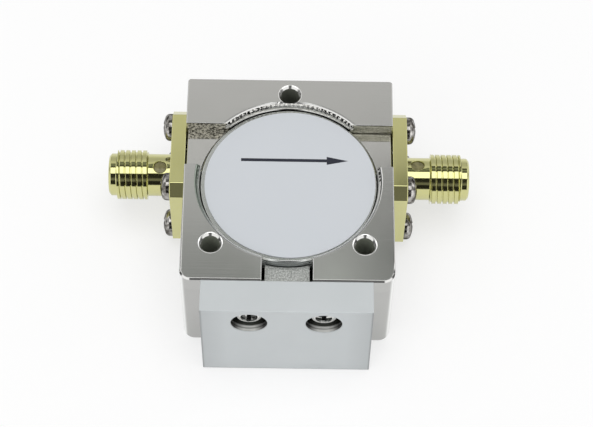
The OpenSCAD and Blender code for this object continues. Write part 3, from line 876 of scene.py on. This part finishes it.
def make_housing():
    """Housing with a small cut along its front edge and soft edges elsewhere."""
    bm = merged_copy("housing")
    round_edges(bm, 0.22, pick=at_front_edge, segments=1)
    round_edges(bm, 0.05, above=30, pick=behind_front_face)
    round_edges(bm, 0.1, above=30, pick=at_chamfer_rim)
    round_edges(bm, 0.12, pick=off_back_hole)
    for vert in bm.verts:
        vert.co.z = min(vert.co.z, HOUSING_TOP * MM)
    for side in (-1, 1):
        ends = [vert for vert in bm.verts if at_round_end(vert, side)]
        bmesh.ops.remove_doubles(bm, verts=ends, dist=0.17 * MM)
    put_piece("housing_body", bm, "bright_nickel", "bright_nickel", ["housing"])


def make_mouth_thread():
    """Last thread turn in the wall of the mouth above the lid, between the slots and the notch."""
    slot_back = math.degrees(math.asin(SLOT_BACK_Y / MOUTH_R))
    slot_front = math.degrees(math.asin((PORT_Y - SLOT_HALF_W) / MOUTH_R))
    notch = math.degrees(math.asin(NOTCH_HALF_W / MOUTH_R))
    gap = 1.5
    arcs = ((slot_back, 180 - slot_back), (180 - slot_front, 270 - notch), (270 + notch, 360 + slot_front))
    bm = bmesh.new()
    for first, last in arcs:
        begin = math.radians(first + gap)
        helix_ridge(
            bm,
            centre=Vector((0, 0, 0)),
            axis=UP,
            out=Vector((math.cos(begin), math.sin(begin), 0)),
            root_r=MOUTH_R + 0.04,
            crest_r=MOUTH_R - 0.11,
            foot=0.56,
            crest=0.06,
            pitch=0.1,
            start=LID_TOP + 0.02,
            turns=(last - first - 2 * gap) / 360,
            steps=60,
        )
    put_piece("mouth_thread", bm, "bright_nickel", "bright_nickel", smooth=25)


def make_lid():
    """Lid and the cut thread on its side."""
    bm = merged_copy("lid")
    round_edges(bm, 0.05, above=35)
    put_piece("lid_disc", bm, "lid_nickel", "lid_nickel", ["lid"])
    bm = bmesh.new()
    helix_ridge(
        bm,
        centre=Vector((0, 0, 0)),
        axis=UP,
        out=Vector((0, -1, 0)),
        root_r=LID_R - 0.04,
        crest_r=LID_R + 0.09,
        foot=0.40,
        crest=0.08,
        pitch=0.45,
        start=11.55,
        turns=4.2,
        steps=540,
    )
    put_piece("lid_thread", bm, "lid_nickel", "lid_nickel", smooth=25)


def make_label():
    """Label, and the backing that shows at its right edge."""
    bm = merged_copy("label")
    round_edges(bm, 0.04)
    put_piece("label_disc", bm, "label_film", "label_film", ["label"])
    backing_r = 10.3
    backing_t = 0.11
    middle = Vector((0.22, 0.02, LID_TOP + backing_t / 2))
    bm = bmesh.new()
    bmesh.ops.create_cone(
        bm,
        cap_ends=True,
        segments=160,
        radius1=backing_r * MM,
        radius2=backing_r * MM,
        depth=backing_t * MM,
        matrix=Matrix.Translation(middle * MM),
    )
    put_piece("label_backing", bm, "label_film", "label_film")


def make_arrow():
    """Plain direction arrow printed on the label."""
    y = 3.35
    tail_x, neck_x, tip_x = -5.85, 4.6, 7.2
    shaft_half, head_half = 0.21, 0.57
    ink_t = 0.012
    outline = [
        (tail_x, y - shaft_half),
        (neck_x, y - shaft_half),
        (neck_x, y - head_half),
        (tip_x, y),
        (neck_x, y + head_half),
        (neck_x, y + shaft_half),
        (tail_x, y + shaft_half),
    ]
    bm = bmesh.new()
    face = bm.faces.new([bm.verts.new((a * MM, b * MM, LABEL_TOP * MM)) for a, b in outline])
    raised = bmesh.ops.extrude_face_region(bm, geom=[face])
    moved = [v for v in raised["geom"] if isinstance(v, bmesh.types.BMVert)]
    bmesh.ops.translate(bm, verts=moved, vec=(0, 0, ink_t * MM))
    bmesh.ops.recalc_face_normals(bm, faces=bm.faces)
    put_piece("direction_arrow", bm, "label_print", "label_film")


def off_slot_back(edge):
    """Leaves out the edges at the back wall of a slot."""
    return min(v.co.y for v in edge.verts) < (SLOT_BACK_Y - 0.3) * MM


def make_covers():
    """Covers of the slots and the notch."""
    for side in ("left", "right"):
        bm = merged_copy("slot_cover_" + side)
        # The left cover lies against the back wall of its slot, the right one leaves a thin gap
        for vert in bm.verts:
            if side == "left" and vert.co.y > (SLOT_BACK_Y - 0.15) * MM:
                vert.co.y = (SLOT_BACK_Y - 0.01) * MM
        round_edges(bm, 0.08, pick=off_slot_back)
        put_piece("slot_cover_plate_" + side, bm, "cast_cover", "cast_cover", ["slot_cover_" + side])
    bm = merged_copy("notch_cover")
    round_edges(bm, 0.10)
    put_piece("notch_cover_plate", bm, "notch_cast", "cast_cover", ["notch_cover"])


# Connectors


def make_jack(side, way):
    """Flange and barrel with a cut thread: the solid's barrel goes down to the root under a coil."""
    bm = merged_copy("connector_shell_" + side)
    axis = Vector((0, PORT_Y, PORT_Z)) * MM
    for vert in bm.verts:
        along = way * vert.co.x / MM - SIDE_X
        off = Vector((0, vert.co.y - axis.y, vert.co.z - axis.z))
        if along > THREAD_START - 0.01 and off.length > (THREAD_ROOT_R + 0.04) * MM:
            off.normalize()
            off *= THREAD_ROOT_R * MM
            vert.co = Vector((vert.co.x, axis.y + off.y, axis.z + off.z))
    tip = (SIDE_X + THREAD_END - 0.3) * MM
    round_edges(bm, 0.04, above=20, pick=lambda edge: all(abs(v.co.x) > tip for v in edge.verts))
    round_edges(bm, 0.09, above=20, pick=lambda edge: all(abs(v.co.x) < tip for v in edge.verts))
    put_piece("jack_body_" + side, bm, "gold_plate", "gold_plate", ["connector_shell_" + side])
    bm = bmesh.new()
    centre = Vector((way * SIDE_X, PORT_Y, PORT_Z))
    forward = ALONG_X * way
    turns = (THREAD_END - THREAD_START) / THREAD_PITCH + 1
    helix_ridge(
        bm,
        centre=centre,
        axis=forward,
        out=UP,
        root_r=THREAD_ROOT_R - 0.18,
        crest_r=THREAD_CREST_R,
        foot=0.69,
        crest=0.48,
        pitch=THREAD_PITCH,
        start=THREAD_START - THREAD_PITCH / 2,
        turns=turns,
        steps=int(turns * 48),
    )
    cut_off(bm, centre + forward * (THREAD_START + 0.06), -forward)
    cut_off(bm, centre + forward * (THREAD_END - 0.1), forward)
    bmesh.ops.recalc_face_normals(bm, faces=bm.faces)
    put_piece("jack_thread_" + side, bm, "gold_plate", "gold_plate", smooth=25)


def at_flange_head_rim(edge):
    """Rim of a flange screw's head, under its dome."""
    screw = Vector((FLANGE_SCREW_OUT, FLANGE_SCREW_OUT))
    for vert in edge.verts:
        out = Vector((abs(vert.co.y / MM - PORT_Y), abs(vert.co.z / MM - PORT_Z)))
        on_rim = abs((out - screw).length - FLANGE_HEAD_R) < 0.03
        if not on_rim or abs(vert.co.x / MM) < SIDE_X + FLANGE_T + 0.5:
            return False
    return True


def make_small_connector_pieces(side):
    """Insulator, contact, epoxy and flange screws of one jack, with soft edges."""
    for node, finish, width in (
        ("insulator_", "white_insulator", 0.04),
        ("contact_", "gold_plate", 0.02),
        ("epoxy_plug_", "epoxy", 0.06),
        ("flange_screws_", "screw_steel", 0.06),
    ):
        bm = merged_copy(node + side)
        if node == "flange_screws_":
            round_edges(bm, 0.35, above=45, pick=at_flange_head_rim, segments=5)
        round_edges(bm, width, above=45)
        put_piece(node + side + "_dressed", bm, finish, finish, [node + side])


# Load block


def make_load_block():
    """Block and its two sunk screws, with soft edges."""
    bm = merged_copy("load_block")
    round_edges(bm, 0.10)
    put_piece("load_block_body", bm, "blasted_aluminium", "blasted_aluminium", ["load_block"])
    bm = merged_copy("load_block_screws")
    round_edges(bm, 0.06, above=45)
    put_piece("load_block_screws_dressed", bm, "screw_steel", "screw_steel", ["load_block_screws"])


def dress_enclosed_nodes():
    """The pieces inside keep their own solids and get their finish."""
    slots = {
        "load_carrier": "load_metal",
        "load_chip": "load_ceramic",
        "load_tab": "silver_sheet",
        "centre_conductor": "silver_sheet",
        "ferrite_lower": "ferrite",
        "ferrite_upper": "ferrite",
        "ceramic_ring_lower": "ring_ceramic",
        "ceramic_ring_upper": "ring_ceramic",
        "pole_plate_lower": "pole_steel",
        "pole_plate_upper": "pole_steel",
        "magnet_lower": "magnet",
        "magnet_upper": "magnet",
        "compensator_lower": "compensation_alloy",
        "compensator_upper": "compensation_alloy",
    }
    for node, finish in slots.items():
        for held in frame["nodes"][node].material_slots:
            held.material = FINISH[finish]


# Studio


def soft_step(tree, value, low, high):
    """Rises smoothly from 0 to 1 between two values."""
    return add_node(
        tree,
        "ShaderNodeMapRange",
        {"Value": value, "From Min": low, "From Max": high},
        interpolation_type="SMOOTHSTEP",
    ).outputs[0]


def between_steps(tree, value, low, high, blur=0.008):
    """1 between two values, with a soft step at each."""
    rise = soft_step(tree, value, low - blur, low + blur)
    fall = soft_step(tree, value, high - blur, high + blur)
    return math_node(tree, "SUBTRACT", rise, fall)


def make_floor():
    """Pale paper under the part, which keeps its shadow."""
    bm = bmesh.new()
    bmesh.ops.create_grid(bm, x_segments=1, y_segments=1, size=1.5)
    mesh = bpy.data.meshes.new("floor")
    bm.to_mesh(mesh)
    bm.free()
    floor = bpy.data.objects.new("floor", mesh)
    bpy.context.scene.collection.objects.link(floor)
    material, tree, shader = start_material("floor_paper", Roughness=0.9)
    noise = add_node(tree, "ShaderNodeTexNoise", {"Vector": object_place(tree), "Scale": 40})
    tree.links.new(
        mix_tone(tree, noise.outputs["Fac"], (0.975, 0.975, 0.975), (0.985, 0.985, 0.985)),
        shader.inputs["Base Color"],
    )
    shader.inputs["Specular IOR Level"].default_value = 0.1
    path = tree.nodes.new("ShaderNodeLightPath").outputs
    seen = math_node(tree, "MAXIMUM", path["Is Camera Ray"], path["Is Glossy Ray"])
    seen = math_node(tree, "MAXIMUM", seen, path["Is Transmission Ray"])
    white = add_node(tree, "ShaderNodeEmission", {"Color": (1, 1, 1, 1), "Strength": 1.0})
    blend = tree.nodes.new("ShaderNodeMixShader")
    tree.links.new(math_node(tree, "MULTIPLY", seen, 0.6), blend.inputs[0])
    tree.links.new(shader.outputs[0], blend.inputs[1])
    tree.links.new(white.outputs[0], blend.inputs[2])
    tree.links.new(blend.outputs[0], tree.nodes["Material Output"].inputs["Surface"])
    mesh.materials.append(material)


def uneven_panel(tree, x, turn):
    """Strength of the panel that the top mirrors: brighter right of the notch, darker at the right edge."""
    across = math_node(tree, "MULTIPLY_ADD", x, 8.0, 0.5)
    front_strip = [
        (0.05, 0.20), (0.42, 0.22), (0.47, 0.62), (0.56, 0.85), (0.78, 0.85), (0.86, 0.30), (0.93, 0.05),
    ]
    middle_strip = [(0.14, 0.45), (0.26, 0.333), (0.74, 0.333), (0.87, 0.08)]
    strength = 1.0
    for low, high, stops in ((0.63, 0.6645, front_strip), (0.6645, 0.677, middle_strip)):
        band = between_steps(tree, turn, low, high, blur=0.003)
        change = math_node(tree, "MULTIPLY_ADD", ramp(tree, across, stops), 3.0, -1.0)
        strength = math_node(tree, "MULTIPLY_ADD", band, change, strength)
    return strength


def mirrored_studio(tree):
    """What the metal mirrors: a soft box overhead, a dark gap in front, white panels at the sides."""
    way = tree.nodes.new("ShaderNodeTexCoord").outputs["Generated"]
    x, y, z = add_node(tree, "ShaderNodeSeparateXYZ", {"Vector": way}).outputs
    # Turn about the X axis: 0 at the front horizon, 0.5 straight up, 1 at the back horizon
    forward = math_node(tree, "MULTIPLY", y, -1.0)
    turn = math_node(tree, "DIVIDE", math_node(tree, "ARCTAN2", z, forward), math.pi)
    middle = ramp(
        tree,
        turn,
        [
            (0.0, 0.92), (0.016, 0.02), (0.13, 0.02), (0.16, 0.22), (0.20, 0.18), (0.24, 0.03),
            (0.345, 0.02), (0.36, 1.0), (0.52, 1.0), (0.535, 0.08), (0.57, 0.12), (0.60, (0.27, 0.29, 0.27)),
            (0.645, (0.29, 0.31, 0.29)), (0.662, (0.385, 0.40, 0.38)),
            (0.69, (0.82, 0.81, 0.79)), (0.72, 0.78), (0.77, 0.64), (0.88, 0.60), (1.0, 0.84),
        ],
    )
    box = between_steps(tree, turn, 0.353, 0.527)
    middle = mix_tone(tree, box, middle, (2.0, 2.0, 2.0))
    sides = ramp(
        tree,
        turn,
        [
            (0.0, 0.65), (0.03, 1.0), (0.30, 1.0), (0.34, 0.35), (0.54, 0.4), (0.60, 1.0), (0.72, 1.0),
            (0.80, 0.35), (0.92, 0.07), (1.0, 0.05),
        ],
    )
    out = math_node(tree, "ABSOLUTE", x)
    wider = soft_step(tree, turn, 0.5, 0.58)
    aside = soft_step(tree, math_node(tree, "MULTIPLY_ADD", wider, -0.05, out), 0.13, 0.26)
    middle = brighter(tree, middle, uneven_panel(tree, x, turn))
    room = mix_tone(tree, aside, middle, brighter(tree, sides, 1.5))
    return mix_tone(tree, soft_step(tree, out, 0.93, 0.97), room, (0.10, 0.10, 0.10))


def make_world():
    """White studio: plain white to the camera, the mirrored studio to metal, soft light to the rest."""
    world = bpy.data.worlds.new("studio")
    world.use_nodes = True
    tree = world.node_tree
    tree.nodes.clear()
    path = tree.nodes.new("ShaderNodeLightPath").outputs
    seen = add_node(tree, "ShaderNodeBackground", {"Color": (1, 1, 1, 1), "Strength": 1.0})
    mirrored = add_node(tree, "ShaderNodeBackground", {"Color": mirrored_studio(tree), "Strength": 1.0})
    soft = add_node(tree, "ShaderNodeBackground", {"Color": (1, 1, 1, 1), "Strength": 0.56})
    inner = tree.nodes.new("ShaderNodeMixShader")
    tree.links.new(path["Is Glossy Ray"], inner.inputs[0])
    tree.links.new(soft.outputs[0], inner.inputs[1])
    tree.links.new(mirrored.outputs[0], inner.inputs[2])
    direct = math_node(tree, "MAXIMUM", path["Is Camera Ray"], path["Is Transmission Ray"])
    outer = tree.nodes.new("ShaderNodeMixShader")
    tree.links.new(direct, outer.inputs[0])
    tree.links.new(inner.outputs[0], outer.inputs[1])
    tree.links.new(seen.outputs[0], outer.inputs[2])
    world_out = tree.nodes.new("ShaderNodeOutputWorld")
    tree.links.new(outer.outputs[0], world_out.inputs["Surface"])
    bpy.context.scene.world = world


def make_lamps():
    """Soft box overhead and a weaker one from the front left."""
    for name, place, size, power in (
        ("overhead_box", (0.02, -0.05, 0.55), 0.45, 1.4),
        ("front_box", (-0.35, -0.45, 0.45), 0.35, 0.5),
    ):
        lamp = bpy.data.lights.new(name, "AREA")
        lamp.shape = "SQUARE"
        lamp.size = size
        lamp.energy = power
        holder = bpy.data.objects.new(name, lamp)
        holder.location = place
        holder.rotation_mode = "QUATERNION"
        holder.rotation_quaternion = Vector(place).to_track_quat("Z", "Y")
        holder.visible_glossy = False
        bpy.context.scene.collection.objects.link(holder)


place_camera()
make_housing()
make_mouth_thread()
make_lid()
make_label()
make_arrow()
make_covers()
for side, way in (("left", -1), ("right", 1)):
    make_jack(side, way)
    make_small_connector_pieces(side)
make_load_block()
dress_enclosed_nodes()
make_floor()
make_world()
make_lamps()
bpy.context.scene.view_settings.view_transform = "Standard"

bpy.context.view_layer.update()
